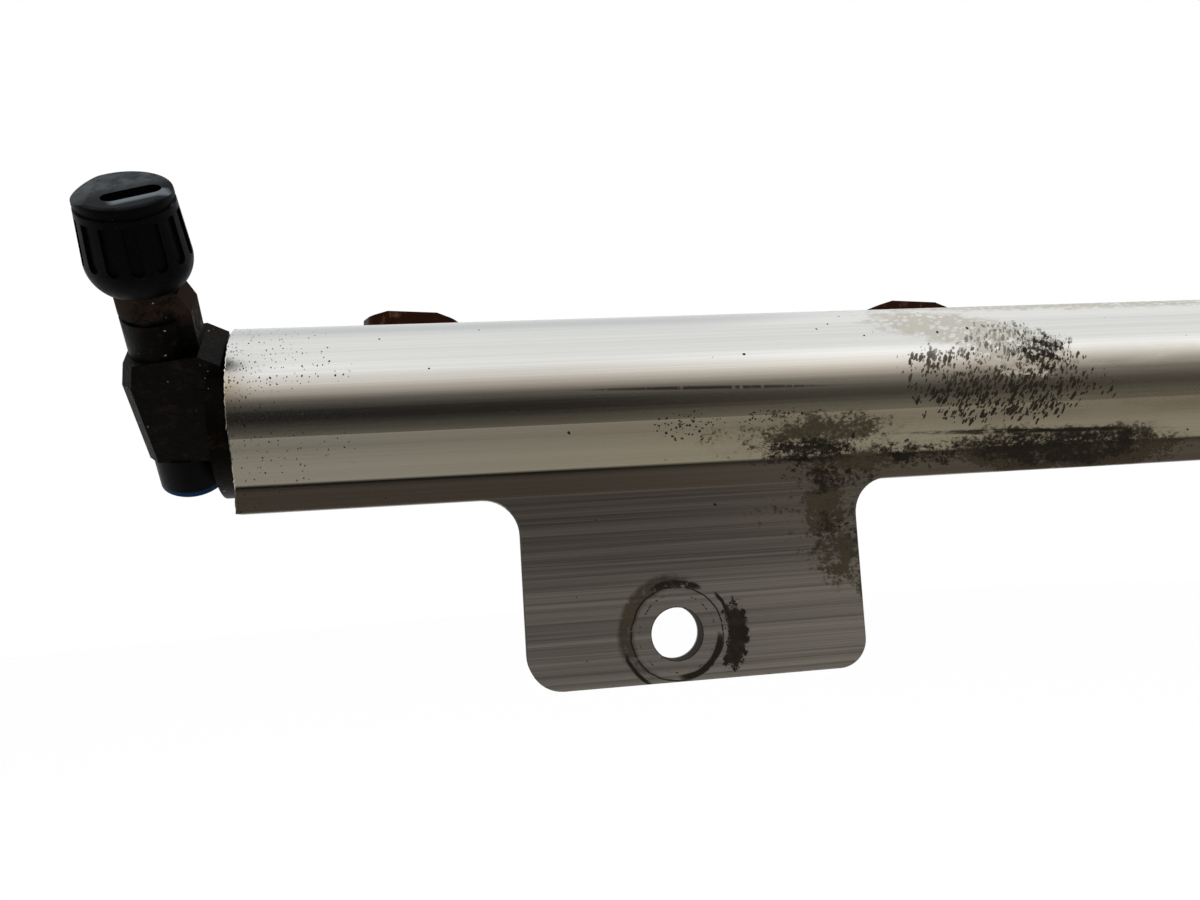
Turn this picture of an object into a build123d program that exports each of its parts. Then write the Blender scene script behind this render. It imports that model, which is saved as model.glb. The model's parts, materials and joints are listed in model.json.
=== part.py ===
from build123d import *

import os
from math import acos, copysign, cos, degrees, radians, sin, tan

# Fuel rail of an in-line five-cylinder petrol engine, in millimetres.
# +X runs along the rail, away from the end adapter. +Y points from the bolting tabs to the engine,
# the way the injectors leave their sockets. +Z points from the bolting tabs up to the rail's tube.
# The origin is midway between the two bolt holes, on the tabs' mounting face.

# Extrusion
rail_end_reach = 24.75
tube_radius = 12.2
tube_height = 38.2
tube_depth = 3.4
flange_thickness = 3.8
flange_lip = 3.9
front_slope_angle = 28.0
back_flat_cut = 1.5
back_corner_radius = 5.0
inner_corner_radius = 2.4
crease_radius = 1.4
fuel_bore_radius = 7.5
fuel_bore_drop = 1.5
fuel_bore_back = 0.2
floor_wall = 3.3

# Bolting tabs
bolt_spacing = 286.0
bolt_hole_radius = 4.0
tab_outer_reach = 22.9
tab_inner_reach = 30.0
tab_below_hole = 7.2
tab_outer_corner_radius = 5.2
tab_inner_corner_radius = 4.5
tab_root_radius = 5.6

# Injector sockets
injector_count = 5
injector_pitch = 91.0
socket_radius = 6.75
socket_rise = 1.8
socket_depth = 9.5
socket_lead_in = 1.0
socket_feed_radius = 3.0
cup_wall = 1.95
cup_flange_width = 1.9
cup_flange_thickness = 3.4
cup_standout = 7.0
cup_edge_chamfer = 0.4

# Injector clips
clip_thickness = 0.9
clip_play = 0.2
clip_side_play = 0.15
clip_bend_radius = 0.5
clip_leg_reach = 8.0
clip_shoulder_height = 9.4
clip_neck_height = 11.6
clip_hook_length = 2.4
clip_hook_gap = 0.5
clip_grip_width = 13.5
clip_grip_height = 14.85
clip_ear_length = 2.2
clip_ear_flare = 30.0
clip_corner_run = 2.6
clip_corner_drop = 0.9
clip_turn = 3.8
clip_lifts = [0.8, 0.0, 0.5, 0.0, 0.3]

# End adapter
fit_clearance = 0.1
collar_radius = 12.0
collar_thickness = 2.8
spigot_length = 14.0
adapter_bore_radius = 2.4
stem_offset = 9.15
stem_lean = 43.0
stem_radius = 4.45
stem_thread_radius = 3.95
stem_thread_start = 25.6
stem_top = 34.1
stem_groove_at = 19.2
stem_groove_width = 0.7
stem_groove_depth = 0.4
stem_rib_reach = 1.3
stem_rib_half_width = 2.5
stem_rib_high = 20.4
stem_rib_top = 23.2
body_half_depth = 4.7
body_chamfer = 1.4
body_low = 4.0
body_high = 13.0
body_apex = 5.6
body_apex_at = 9.4
body_foot = 4.6
body_shoulder_at = 14.4
body_shoulder_drop = 1.6
body_end_gap = 0.6
body_land = 0.25
cross_bore_radius = 1.8

# Seals on the spigots
o_ring_thickness = 1.5
o_ring_squeeze_gap = 0.05
o_ring_groove_width = 2.4
o_ring_groove_at = 6.0
o_ring_sides = 6

# Test valve in the stem
valve_bore_radius = 2.7
valve_seat_at = 24.7
valve_top_at = 31.5
valve_barrel_clearance = 0.1
valve_hole_radius = 0.95
valve_chamber_radius = 1.8
valve_floor = 1.4
valve_ring_at = 0.5
valve_ring_width = 0.7
valve_ring_depth = 0.5
valve_pin_radius = 0.6
valve_pin_tip_gap = 0.3
valve_pin_collar_radius = 1.55
valve_pin_collar_thickness = 0.7
valve_pin_foot_radius = 1.5
valve_pin_foot_thickness = 0.7
valve_disc_radius = 1.7
valve_disc_thickness = 0.8
valve_disc_gap = 0.1
valve_spring_radius = 1.2
valve_spring_wire = 0.2
valve_spring_turns = 4
valve_spring_sides = 6
valve_spring_gap = 0.05

# Test port cap
cap_mouth_at = 24.0
cap_mouth_radius = 5.4
cap_lip_height = 1.7
cap_lip_inset = 0.4
cap_skirt_radius = 6.95
cap_skirt_height = 3.9
cap_top_radius = 6.2
cap_height = 13.3
cap_top_round = 0.6
cap_thread_clearance = 0.1
cap_skirt_clearance = 0.3
cap_ring_drop = 1.8
cap_ring_width = 0.7
cap_ring_depth = 0.35
cap_flute_count = 14
cap_flute_width = 1.7
cap_flute_depth = 0.5
cap_flute_foot = 4.9
cap_flute_head = 2.7
cap_slot_length = 7.6
cap_slot_width = 2.6
cap_slot_depth = 2.1
cap_slot_turn = 30.0
cap_slot_aside = 1.4
cap_slot_forward = 1.2
cap_facet_at = [-3.6, 4.8]
cap_facet_slope = 16.0
cap_seal_radius = 3.8
cap_seal_thickness = 0.7
cap_seal_gap = 0.1

# Inlet quick connector
inlet_radius = 5.0
inlet_length = 5.9
inlet_neck_radius = 3.0
inlet_neck_length = 2.2
inlet_cavity_radius = 4.0
inlet_floor = 1.0
inlet_pipe_radius = 3.0
inlet_seal_gap = 0.05
inlet_spacer_length = 1.2
inlet_spacer_play = 0.4
lock_ring_radius = 5.0
lock_ring_thickness = 1.1
lock_ring_edge = 0.3

# End plug
plug_head_radius = 9.8
plug_head_thickness = 3.0
plug_head_chamfer = 0.8
plug_spigot_length = 12.0
plug_hex_across = 8.0
plug_hex_depth = 4.5

# Places that follow from the sizes
tube_z = tube_height
tube_y = tube_depth
fuel_y = tube_y + fuel_bore_back
fuel_z = tube_z - fuel_bore_drop
back_y = tube_y + tube_radius - back_flat_cut
floor_z = fuel_z - fuel_bore_radius - floor_wall
flange_z = floor_z - flange_lip
socket_z = tube_z + socket_rise
cup_neck_radius = socket_radius + cup_wall
cup_flange_radius = cup_neck_radius + cup_flange_width
mouth_y = back_y + cup_standout
cup_flange_y = mouth_y - cup_flange_thickness
socket_places = [
    (number - (injector_count - 1) / 2) * injector_pitch for number in range(injector_count)
]
left_end = socket_places[0] - rail_end_reach
right_end = socket_places[-1] + rail_end_reach
spigot_radius = fuel_bore_radius - fit_clearance

os.makedirs("parts", exist_ok=True)

# Rail: the extruded section, seen along the rail
slope = radians(front_slope_angle)
tangent_y = tube_y - tube_radius * cos(slope)
tangent_z = tube_z - tube_radius * sin(slope)
slope_foot_z = tangent_z - (-flange_thickness - tangent_y) * cos(slope) / sin(slope)
back_angle = degrees(acos((back_y - tube_y) / tube_radius))
front_angle = 180 + front_slope_angle
back_top_z = tube_z + tube_radius * sin(radians(back_angle))

with BuildPart() as rail:
    with BuildSketch(Plane.YZ) as section:
        with BuildLine():
            Line((-flange_thickness, flange_z), (-flange_thickness, slope_foot_z))
            Line((-flange_thickness, slope_foot_z), (tangent_y, tangent_z))
            CenterArc((tube_y, tube_z), tube_radius, front_angle, back_angle - front_angle)
            Line((back_y, back_top_z), (back_y, floor_z))
            Line((back_y, floor_z), (0, floor_z))
            Line((0, floor_z), (0, flange_z))
            Line((0, flange_z), (-flange_thickness, flange_z))
        make_face()
        low_back = section.vertices().sort_by_distance((back_y, floor_z))[0]
        fillet(low_back, back_corner_radius)
        inner_corner = section.vertices().sort_by_distance((0, floor_z))[0]
        fillet(inner_corner, inner_corner_radius)
        crease = section.vertices().sort_by_distance((-flange_thickness, slope_foot_z))[0]
        fillet(crease, crease_radius)
    extrude(amount=right_end, both=True)

    # Tabs left standing where the strip is milled away, each with its bolt hole
    for side in (-1, 1):
        hole_x = side * bolt_spacing / 2
        outer_x = hole_x + side * tab_outer_reach
        inner_x = hole_x - side * tab_inner_reach
        strip_outer_x = outer_x + side * 2 * tab_root_radius
        strip_inner_x = inner_x - side * 2 * tab_root_radius
        with BuildSketch(Plane.XZ):
            with BuildLine():
                FilletPolyline(
                    (strip_outer_x, flange_z + flange_lip),
                    (strip_outer_x, flange_z),
                    (outer_x, flange_z),
                    (outer_x, -tab_below_hole),
                    (inner_x, -tab_below_hole),
                    (inner_x, flange_z),
                    (strip_inner_x, flange_z),
                    (strip_inner_x, flange_z + flange_lip),
                    radius=[
                        0,
                        tab_root_radius,
                        tab_outer_corner_radius,
                        tab_inner_corner_radius,
                        tab_root_radius,
                        0,
                    ],
                )
                Line((strip_inner_x, flange_z + flange_lip), (strip_outer_x, flange_z + flange_lip))
            make_face()
        extrude(amount=flange_thickness)
        with Locations(Plane.XZ.offset(flange_thickness)):
            with Locations((hole_x, 0)):
                Hole(bolt_hole_radius, depth=flange_thickness)

    # Cups for the injectors, turned out of the back of the section
    with BuildSketch(Plane.XZ.offset(-tube_y)):
        with Locations(*[(x, socket_z) for x in socket_places]):
            Circle(cup_neck_radius)
    extrude(amount=-(mouth_y - tube_y))
    with BuildSketch(Plane.XZ.offset(-cup_flange_y)):
        with Locations(*[(x, socket_z) for x in socket_places]):
            Circle(cup_flange_radius)
    extrude(amount=-cup_flange_thickness)
    mouth_edges = rail.edges().filter_by(GeomType.CIRCLE).filter_by(
        lambda edge: abs(edge.radius - cup_flange_radius) < cup_edge_chamfer / 10
        and edge.center().Y > cup_flange_y
    )
    chamfer(mouth_edges.group_by(Axis.Y)[-1], cup_edge_chamfer)

    # Fuel bore, sockets with a tapered lead-in, and the drilling from each socket to the bore
    with BuildSketch(Plane.YZ):
        with Locations((fuel_y, fuel_z)):
            Circle(fuel_bore_radius)
    extrude(amount=right_end, both=True, mode=Mode.SUBTRACT)
    for x in socket_places:
        socket_plane = Plane(origin=(x, mouth_y, socket_z), x_dir=(1, 0, 0), z_dir=(0, 1, 0))
        with Locations(socket_plane):
            Hole(socket_radius, depth=socket_depth)
            Hole(socket_feed_radius, depth=mouth_y - fuel_y)
            with Locations((0, 0, -socket_lead_in / 2)):
                Cone(
                    socket_radius,
                    socket_radius + socket_lead_in,
                    socket_lead_in,
                    mode=Mode.SUBTRACT,
                )
rail.part.label = "rail"
export_step(rail.part, "parts/rail.step")

# Injector clip: one folded sheet. A forked plate sits behind the cup's flange, two side walls reach
# past the mouth and end in hooks for the injector's collar, and a grip with flared ears stands on top.
# It is drawn with the socket's axis as its origin and the plate's front face at Y = 0.
clip_front_y = cup_flange_y - clip_play - clip_thickness
clip_outer = cup_flange_radius + clip_side_play + clip_thickness
clip_arch = cup_neck_radius + clip_play
hook_y = mouth_y + clip_hook_gap + clip_thickness - clip_front_y
bend = clip_bend_radius
outer_bend = clip_bend_radius + clip_thickness
ear_run = clip_ear_length * sin(radians(clip_ear_flare))
ear_back = clip_ear_length * cos(radians(clip_ear_flare))
grip_half = clip_grip_width / 2

with BuildPart() as clip:
    # Shoulder plate with the arch that spans the cup's neck
    with BuildSketch(Plane.XZ):
        with BuildLine():
            Polyline(
                (-clip_outer + outer_bend, 0),
                (-clip_outer + outer_bend, clip_shoulder_height),
                (-grip_half, clip_neck_height),
                (grip_half, clip_neck_height),
                (clip_outer - outer_bend, clip_shoulder_height),
                (clip_outer - outer_bend, 0),
                close=True,
            )
        make_face()
        Circle(clip_arch, mode=Mode.SUBTRACT)
    extrude(amount=-clip_thickness)

    # Legs, side walls and hooks
    for side in (-1, 1):
        with BuildSketch(Plane.XY.offset(-clip_leg_reach)):
            with BuildLine():
                FilletPolyline(
                    (side * clip_arch, 0),
                    (side * clip_outer, 0),
                    (side * clip_outer, hook_y),
                    (side * (clip_outer - clip_hook_length), hook_y),
                    radius=outer_bend,
                )
                FilletPolyline(
                    (side * clip_arch, clip_thickness),
                    (side * (clip_outer - clip_thickness), clip_thickness),
                    (side * (clip_outer - clip_thickness), hook_y - clip_thickness),
                    (side * (clip_outer - clip_hook_length), hook_y - clip_thickness),
                    radius=bend,
                )
                Line((side * clip_arch, 0), (side * clip_arch, clip_thickness))
                Line(
                    (side * (clip_outer - clip_hook_length), hook_y),
                    (side * (clip_outer - clip_hook_length), hook_y - clip_thickness),
                )
            make_face()
        extrude(amount=clip_leg_reach + clip_shoulder_height)

    # Grip with flared ears, its top corners cut on a slant
    with BuildSketch(Plane.XY.offset(clip_neck_height - clip_thickness)):
        with BuildLine():
            FilletPolyline(
                (-grip_half - ear_run, ear_back + clip_thickness / 2),
                (-grip_half, clip_thickness / 2),
                (grip_half, clip_thickness / 2),
                (grip_half + ear_run, ear_back + clip_thickness / 2),
                radius=bend + clip_thickness / 2,
            )
            offset(amount=clip_thickness / 2, side=Side.BOTH)
        make_face()
    extrude(amount=clip_grip_height - clip_neck_height + clip_thickness)
    corner_cut = grip_half + ear_run + clip_thickness
    for side in (-1, 1):
        with BuildSketch(Plane.XZ.offset(clip_thickness)):
            with BuildLine():
                Polyline(
                    (side * (grip_half - clip_corner_run), clip_grip_height),
                    (side * corner_cut, clip_grip_height),
                    (
                        side * corner_cut,
                        clip_grip_height
                        - clip_corner_drop * (corner_cut - grip_half + clip_corner_run) / clip_corner_run,
                    ),
                    close=True,
                )
            make_face()
        extrude(amount=-(ear_back + 3 * clip_thickness), mode=Mode.SUBTRACT)

for number, x in enumerate(socket_places):
    seat = Location((x, clip_front_y, socket_z + clip_lifts[number % len(clip_lifts)]), (0, clip_turn, 0))
    placed_clip = clip.part.moved(seat)
    placed_clip.label = f"injector_clip_{number + 1}"
    export_step(placed_clip, f"parts/injector_clip_{number + 1}.step")

# End adapter: collar and spigot lie on the fuel bore's axis; the stem leans from the same axis
adapter_x = left_end - stem_offset
lean = radians(stem_lean)
stem_axis = (0, -sin(lean), cos(lean))
stem_origin = (adapter_x, fuel_y, fuel_z)
stem_plane = Plane(origin=stem_origin, x_dir=(1, 0, 0), z_dir=stem_axis)
stem_section = Plane(origin=stem_origin, x_dir=(1, 0, 0), z_dir=(0, -cos(lean), -sin(lean)))
stem_line = Axis(stem_origin, stem_axis)
spigot_plane = Plane(origin=(left_end, fuel_y, fuel_z), x_dir=(0, 1, 0), z_dir=(1, 0, 0))
body_right = stem_offset - body_end_gap
rib_x = stem_radius + stem_rib_reach
groove_floor = spigot_radius - o_ring_thickness - o_ring_squeeze_gap

with BuildPart() as end_adapter:
    with BuildSketch(stem_section):
        with BuildLine():
            Polyline(
                (body_right, -body_low),
                (body_right, body_shoulder_at - body_shoulder_drop),
                (rib_x, body_shoulder_at),
                (-stem_radius - body_land, body_high),
                (-body_apex, body_apex_at),
                (-body_foot, -body_low),
                close=True,
            )
        make_face()
    extrude(amount=body_half_depth, both=True)
    broad_faces = end_adapter.faces().filter_by(Axis(stem_origin, (0, -cos(lean), -sin(lean))))
    chamfer(broad_faces.edges().filter_by(lambda edge: edge.center().X < adapter_x), body_chamfer)

    # Collar and grooved spigot
    with BuildSketch(spigot_plane.offset(-collar_thickness)):
        Circle(collar_radius)
    extrude(amount=collar_thickness)
    with BuildSketch(spigot_plane):
        Circle(spigot_radius)
    extrude(amount=spigot_length)
    with BuildSketch(spigot_plane.offset(o_ring_groove_at)):
        Circle(spigot_radius)
        Circle(groove_floor, mode=Mode.SUBTRACT)
    extrude(amount=o_ring_groove_width, mode=Mode.SUBTRACT)

    # Stem with its lock groove and the thinner threaded end
    with BuildSketch(stem_section):
        with BuildLine():
            Polyline(
                (0, 0),
                (stem_radius, 0),
                (stem_radius, stem_groove_at),
                (stem_radius - stem_groove_depth, stem_groove_at),
                (stem_radius - stem_groove_depth, stem_groove_at + stem_groove_width),
                (stem_radius, stem_groove_at + stem_groove_width),
                (stem_radius, stem_thread_start),
                (stem_thread_radius, stem_thread_start),
                (stem_thread_radius, stem_top),
                (0, stem_top),
                close=True,
            )
        make_face()
    revolve(axis=stem_line)

    # Rib that carries the stem on the collar's side
    with BuildSketch(stem_section):
        with BuildLine():
            Polyline(
                (0, body_high),
                (rib_x, body_high),
                (rib_x, stem_rib_high),
                (stem_radius, stem_rib_top),
                (0, stem_rib_top),
                close=True,
            )
        make_face()
    extrude(amount=stem_rib_half_width, both=True)

    # Drillings: along the spigot, up the stem and down to the inlet
    with BuildSketch(spigot_plane.offset(-stem_offset - adapter_bore_radius)):
        Circle(adapter_bore_radius)
    extrude(amount=stem_offset + adapter_bore_radius + spigot_length, mode=Mode.SUBTRACT)
    with BuildSketch(stem_plane.offset(-body_low)):
        Circle(cross_bore_radius)
    extrude(amount=body_low + stem_top, mode=Mode.SUBTRACT)
    with BuildSketch(stem_plane.offset(valve_seat_at)):
        Circle(valve_bore_radius)
    extrude(amount=stem_top - valve_seat_at, mode=Mode.SUBTRACT)
    with BuildSketch(stem_plane.offset(-body_low)):
        Circle(inlet_neck_radius + fit_clearance)
    extrude(amount=inlet_neck_length + fit_clearance, mode=Mode.SUBTRACT)
end_adapter.part.label = "end_adapter"
export_step(end_adapter.part, "parts/end_adapter.step")

with BuildPart() as adapter_o_ring:
    with BuildSketch(Plane(origin=(left_end, fuel_y, fuel_z), x_dir=(1, 0, 0), z_dir=(0, -1, 0))):
        with Locations((o_ring_groove_at + o_ring_groove_width / 2, groove_floor + o_ring_thickness / 2)):
            RegularPolygon(o_ring_thickness / 2, o_ring_sides)
    revolve(axis=Axis((left_end, fuel_y, fuel_z), (1, 0, 0)))
adapter_o_ring.part.label = "adapter_o_ring"
export_step(adapter_o_ring.part, "parts/adapter_o_ring.step")

# Test valve: a barrel in the stem, a sprung pin through it, and a rubber disc on the pin's foot
barrel_radius = valve_bore_radius - valve_barrel_clearance
ring_low = valve_seat_at + valve_ring_at
ring_high = ring_low + valve_ring_width
chamber_floor = valve_seat_at + valve_floor

with BuildPart() as valve_core:
    with BuildSketch(stem_section):
        with BuildLine():
            Polyline(
                (valve_hole_radius, valve_seat_at),
                (barrel_radius, valve_seat_at),
                (barrel_radius, ring_low),
                (barrel_radius - valve_ring_depth, ring_low),
                (barrel_radius - valve_ring_depth, ring_high),
                (barrel_radius, ring_high),
                (barrel_radius, valve_top_at),
                (valve_chamber_radius, valve_top_at),
                (valve_chamber_radius, chamber_floor),
                (valve_hole_radius, chamber_floor),
                close=True,
            )
        make_face()
    revolve(axis=stem_line)
valve_core.part.label = "valve_core"
export_step(valve_core.part, "parts/valve_core.step")

with BuildPart() as valve_core_seal:
    with BuildSketch(stem_plane.offset(ring_low + o_ring_squeeze_gap)):
        Circle(valve_bore_radius - o_ring_squeeze_gap)
        Circle(barrel_radius - valve_ring_depth + o_ring_squeeze_gap, mode=Mode.SUBTRACT)
    extrude(amount=valve_ring_width - 2 * o_ring_squeeze_gap)
valve_core_seal.part.label = "valve_core_seal"
export_step(valve_core_seal.part, "parts/valve_core_seal.step")

disc_top = valve_seat_at - valve_disc_gap
foot_top = disc_top - valve_disc_thickness
spring_low = chamber_floor + valve_spring_gap
collar_top = valve_top_at - valve_pin_collar_thickness
collar_low = collar_top - valve_pin_collar_thickness

with BuildPart() as valve_pin:
    with BuildSketch(stem_section):
        with BuildLine():
            Polyline(
                (0, foot_top - valve_pin_foot_thickness),
                (valve_pin_foot_radius, foot_top - valve_pin_foot_thickness),
                (valve_pin_foot_radius, foot_top),
                (valve_pin_radius, foot_top),
                (valve_pin_radius, collar_low),
                (valve_pin_collar_radius, collar_low),
                (valve_pin_collar_radius, collar_top),
                (valve_pin_radius, collar_top),
                (valve_pin_radius, stem_top - valve_pin_tip_gap),
                (0, stem_top - valve_pin_tip_gap),
                close=True,
            )
        make_face()
    revolve(axis=stem_line)
valve_pin.part.label = "valve_pin"
export_step(valve_pin.part, "parts/valve_pin.step")

with BuildPart() as valve_pin_seal:
    with BuildSketch(stem_plane.offset(foot_top)):
        Circle(valve_disc_radius)
        Circle(valve_pin_radius, mode=Mode.SUBTRACT)
    extrude(amount=valve_disc_thickness)
valve_pin_seal.part.label = "valve_pin_seal"
export_step(valve_pin_seal.part, "parts/valve_pin_seal.step")

spring_height = collar_low - valve_spring_gap - spring_low - 2 * valve_spring_wire
with BuildPart() as valve_spring:
    with BuildLine() as coil:
        Helix(
            spring_height / valve_spring_turns,
            spring_height,
            valve_spring_radius,
            center=stem_plane.offset(spring_low + valve_spring_wire).origin,
            direction=stem_axis,
        )
    with BuildSketch(coil.line ^ 0):
        RegularPolygon(valve_spring_wire, valve_spring_sides)
    sweep(path=coil.line, is_frenet=True)
valve_spring.part.label = "valve_spring"
export_step(valve_spring.part, "parts/valve_spring.step")

# Test port cap: a fluted screw cap with a flared skirt and a slotted, facetted top
cap_top_at = cap_mouth_at + cap_height
cap_seal_low = stem_top + cap_seal_gap
cap_cavity_top = cap_seal_low + cap_seal_thickness
cap_skirt_at = cap_mouth_at + cap_skirt_height
cap_taper = (cap_skirt_radius - cap_top_radius) / (cap_top_at - cap_skirt_at)
ring_at = cap_top_at - cap_ring_drop
ring_radius = cap_top_radius + cap_taper * cap_ring_drop

with BuildPart(stem_plane) as test_port_cap:
    with BuildSketch(stem_section):
        with BuildLine():
            Line((0, cap_mouth_at), (cap_mouth_radius, cap_mouth_at))
            ThreePointArc(
                (cap_mouth_radius, cap_mouth_at),
                (cap_skirt_radius - cap_lip_inset, cap_mouth_at + cap_lip_height),
                (cap_skirt_radius, cap_skirt_at),
            )
            Line((cap_skirt_radius, cap_skirt_at), (cap_top_radius, cap_top_at))
            Line((cap_top_radius, cap_top_at), (0, cap_top_at))
            Line((0, cap_top_at), (0, cap_mouth_at))
        make_face()
    revolve(axis=stem_line)
    top_edge = test_port_cap.edges().filter_by(GeomType.CIRCLE).sort_by(stem_line)[-1]
    fillet(top_edge, cap_top_round)

    # Flutes with round lower ends, and the ring groove above them
    flute_foot_at = cap_mouth_at + cap_flute_foot
    flute_head_at = cap_top_at - cap_flute_head
    flute_length = flute_head_at - flute_foot_at
    flute_foot_radius = cap_skirt_radius - cap_taper * (flute_foot_at - cap_skirt_at)
    flute_lean = degrees(cap_taper)
    with PolarLocations(flute_foot_radius, cap_flute_count):
        with Locations(Location((0, 0, flute_foot_at), (0, -flute_lean, 0))):
            Box(
                2 * cap_flute_depth,
                cap_flute_width,
                flute_length,
                align=(Align.CENTER, Align.CENTER, Align.MIN),
                mode=Mode.SUBTRACT,
            )
            Cylinder(
                cap_flute_width / 2,
                2 * cap_flute_depth,
                rotation=(0, 90, 0),
                mode=Mode.SUBTRACT,
            )
    with BuildSketch(stem_plane.offset(ring_at)):
        Circle(cap_skirt_radius)
        Circle(ring_radius - cap_ring_depth, mode=Mode.SUBTRACT)
    extrude(amount=cap_ring_width, mode=Mode.SUBTRACT)

    # Slot across the top, and a slanted facet on either side of it
    with BuildSketch(stem_plane.offset(cap_top_at)):
        with Locations((cap_slot_aside, -cap_slot_forward)):
            SlotOverall(cap_slot_length, cap_slot_width, rotation=cap_slot_turn)
    extrude(amount=-cap_slot_depth, mode=Mode.SUBTRACT)
    for facet_start in cap_facet_at:
        facet_end = copysign(cap_skirt_radius, facet_start)
        facet_drop = abs(facet_end - facet_start) * tan(radians(cap_facet_slope))
        with BuildSketch(stem_section):
            with BuildLine():
                Polyline(
                    (facet_start, cap_top_at),
                    (facet_end, cap_top_at),
                    (facet_end, cap_top_at - facet_drop),
                    close=True,
                )
            make_face()
        extrude(amount=cap_skirt_radius, both=True, mode=Mode.SUBTRACT)

    # Inside: wide mouth round the stem, then the threaded bore
    with BuildSketch(stem_plane.offset(cap_mouth_at)):
        Circle(stem_radius + cap_skirt_clearance)
    extrude(amount=stem_thread_start - cap_mouth_at + cap_skirt_clearance, mode=Mode.SUBTRACT)
    with BuildSketch(stem_plane.offset(cap_mouth_at)):
        Circle(stem_thread_radius + cap_thread_clearance)
    extrude(amount=cap_cavity_top - cap_mouth_at, mode=Mode.SUBTRACT)
test_port_cap.part.label = "test_port_cap"
export_step(test_port_cap.part, "parts/test_port_cap.step")

with BuildPart() as cap_seal:
    with BuildSketch(stem_plane.offset(cap_seal_low)):
        Circle(cap_seal_radius)
    extrude(amount=cap_seal_thickness)
cap_seal.part.label = "cap_seal"
export_step(cap_seal.part, "parts/cap_seal.step")

# Inlet quick connector, on the stem's axis at the far side of the body
housing_top = -body_low
housing_mouth = housing_top - inlet_length
neck_top = housing_top + inlet_neck_length
cavity_top = housing_top - inlet_floor
seal_wire = inlet_cavity_radius - inlet_pipe_radius - 2 * inlet_seal_gap

with BuildPart() as inlet_housing:
    with BuildSketch(stem_section):
        with BuildLine():
            Polyline(
                (cross_bore_radius, neck_top),
                (inlet_neck_radius, neck_top),
                (inlet_neck_radius, housing_top),
                (inlet_radius, housing_top),
                (inlet_radius, housing_mouth),
                (inlet_cavity_radius, housing_mouth),
                (inlet_cavity_radius, cavity_top),
                (cross_bore_radius, cavity_top),
                close=True,
            )
        make_face()
    revolve(axis=stem_line)
inlet_housing.part.label = "inlet_housing"
export_step(inlet_housing.part, "parts/inlet_housing.step")

seal_places = {
    "inlet_o_ring_inner": cavity_top - inlet_seal_gap - seal_wire / 2,
    "inlet_o_ring_outer": cavity_top - 3 * inlet_seal_gap - seal_wire * 3 / 2 - inlet_spacer_length,
}
for name, height in seal_places.items():
    with BuildPart() as inlet_o_ring:
        with BuildSketch(stem_section):
            with Locations((inlet_pipe_radius + inlet_seal_gap + seal_wire / 2, height)):
                RegularPolygon(seal_wire / 2, o_ring_sides)
        revolve(axis=stem_line)
    inlet_o_ring.part.label = name
    export_step(inlet_o_ring.part, f"parts/{name}.step")

spacer_top = cavity_top - 2 * inlet_seal_gap - seal_wire
with BuildPart() as inlet_spacer:
    with BuildSketch(stem_plane.offset(spacer_top)):
        Circle(inlet_cavity_radius - inlet_seal_gap)
        Circle(inlet_pipe_radius + inlet_spacer_play, mode=Mode.SUBTRACT)
    extrude(amount=-inlet_spacer_length)
inlet_spacer.part.label = "inlet_spacer"
export_step(inlet_spacer.part, "parts/inlet_spacer.step")

sleeve_top = seal_places["inlet_o_ring_outer"] - seal_wire / 2 - inlet_seal_gap
with BuildPart() as inlet_lock_ring:
    with BuildSketch(stem_section):
        with BuildLine():
            Polyline(
                (inlet_pipe_radius, sleeve_top),
                (inlet_cavity_radius - inlet_seal_gap, sleeve_top),
                (inlet_cavity_radius - inlet_seal_gap, housing_mouth),
                (lock_ring_radius, housing_mouth),
                (lock_ring_radius, housing_mouth - lock_ring_thickness + lock_ring_edge),
                (lock_ring_radius - lock_ring_edge, housing_mouth - lock_ring_thickness),
                (inlet_pipe_radius, housing_mouth - lock_ring_thickness),
                close=True,
            )
        make_face()
    revolve(axis=stem_line)
inlet_lock_ring.part.label = "inlet_lock_ring"
export_step(inlet_lock_ring.part, "parts/inlet_lock_ring.step")

# End plug with a hexagon socket, and its seal
plug_plane = Plane(origin=(right_end, fuel_y, fuel_z), x_dir=(0, 1, 0), z_dir=(-1, 0, 0))
with BuildPart() as end_plug:
    with BuildSketch(plug_plane.offset(-plug_head_thickness)):
        Circle(plug_head_radius)
    extrude(amount=plug_head_thickness)
    rim = end_plug.edges().filter_by(GeomType.CIRCLE).sort_by(Axis.X)[-1]
    chamfer(rim, plug_head_chamfer)
    with BuildSketch(plug_plane):
        Circle(spigot_radius)
    extrude(amount=plug_spigot_length)
    with BuildSketch(plug_plane.offset(o_ring_groove_at)):
        Circle(spigot_radius)
        Circle(groove_floor, mode=Mode.SUBTRACT)
    extrude(amount=o_ring_groove_width, mode=Mode.SUBTRACT)
    with BuildSketch(plug_plane.offset(-plug_head_thickness)):
        RegularPolygon(plug_hex_across / 2, 6, major_radius=False)
    extrude(amount=plug_hex_depth, mode=Mode.SUBTRACT)
end_plug.part.label = "end_plug"
export_step(end_plug.part, "parts/end_plug.step")

with BuildPart() as end_plug_o_ring:
    with BuildSketch(Plane(origin=(right_end, fuel_y, fuel_z), x_dir=(-1, 0, 0), z_dir=(0, 1, 0))):
        with Locations((o_ring_groove_at + o_ring_groove_width / 2, groove_floor + o_ring_thickness / 2)):
            RegularPolygon(o_ring_thickness / 2, o_ring_sides)
    revolve(axis=Axis((right_end, fuel_y, fuel_z), (1, 0, 0)))
end_plug_o_ring.part.label = "end_plug_o_ring"
export_step(end_plug_o_ring.part, "parts/end_plug_o_ring.step")
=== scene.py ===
import json
import math

import bmesh
import bpy
from bpy.props import FloatProperty, FloatVectorProperty, IntProperty, PointerProperty
from bpy.types import Operator, Panel, PropertyGroup
from mathutils import Matrix, Vector, noise


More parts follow.
